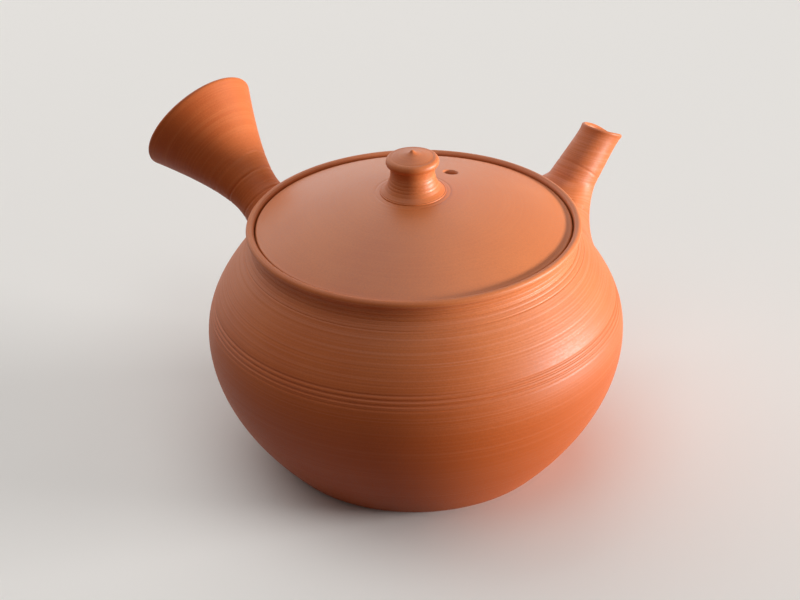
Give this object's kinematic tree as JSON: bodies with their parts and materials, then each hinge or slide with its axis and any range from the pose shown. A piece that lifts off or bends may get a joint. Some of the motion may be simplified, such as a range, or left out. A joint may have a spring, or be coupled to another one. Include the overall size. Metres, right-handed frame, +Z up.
{
  "type": "side-handled teapot",
  "caption": "Side-handled red clay teapot: round belly, inset domed lid with a turned knob and vent, short upturned spout over an inner strainer, and a flared hollow handle.",
  "frame": {"origin": "centre of the flat foot on the throwing axis, on the surface that the pot stands on", "axes": "+Z up along the throwing axis, +X out over the spout, +Y about along the handle"},
  "size_m": [0.1331, 0.1544, 0.0876],
  "materials": {
    "pot_body_clay": "unglazed red clay, matt, with fine throwing lines",
    "spout_clay": "unglazed red clay, matt, with fine throwing lines",
    "strainer_clay": "unglazed red clay, matt, with fine throwing lines",
    "handle_clay": "unglazed red clay, matt, with fine throwing lines",
    "lid_clay": "unglazed burnished red clay with a soft sheen",
    "knob_clay": "unglazed burnished red clay with a soft sheen"
  },
  "bodies": {
    "pot": {"pot_body": "pot_body_clay", "spout": "spout_clay", "strainer": "strainer_clay", "handle": "handle_clay"},
    "lid": {"lid": "lid_clay", "knob": "knob_clay"}
  },
  "joints": [
    {"name": "lid_lift", "type": "slide", "parent": "pot", "child": "lid", "axis": [0, 0, 1], "range_m": [0, 0.06]}
  ]
}
